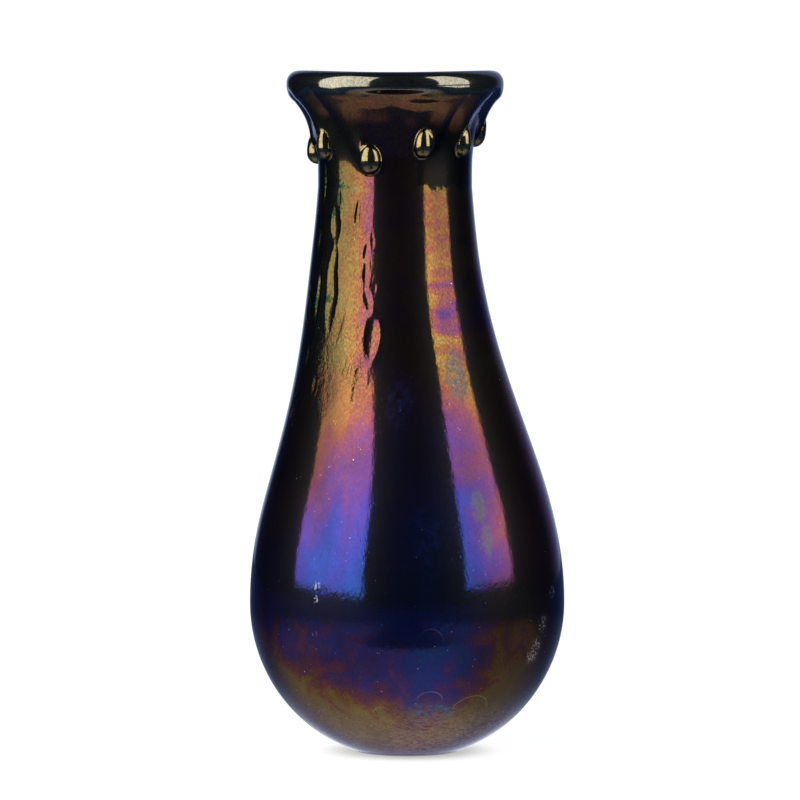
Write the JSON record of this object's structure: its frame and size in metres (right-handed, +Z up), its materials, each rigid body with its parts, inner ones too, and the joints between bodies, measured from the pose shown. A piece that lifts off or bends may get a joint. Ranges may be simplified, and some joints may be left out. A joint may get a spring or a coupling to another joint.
{
  "type": "glass vase",
  "caption": "Hollow blown glass vase: pear-shaped body on a small ground foot, slender leaning neck, thick rolled lip and a ring of pulled glass drops under it",
  "frame": {"origin": "centre of the underside of the foot, on the table", "axes": "+Z up along the height, -Y towards the front of the vase, +X to the right; the neck leans towards -X"},
  "size_m": [0.1388, 0.1388, 0.3],
  "materials": {
    "lustre_glass": "near-black opaque glass with a glossy iridescent lustre, gold at the neck through violet to blue at the belly"
  },
  "bodies": {
    "root": {"vase": "lustre_glass"}
  },
  "joints": []
}
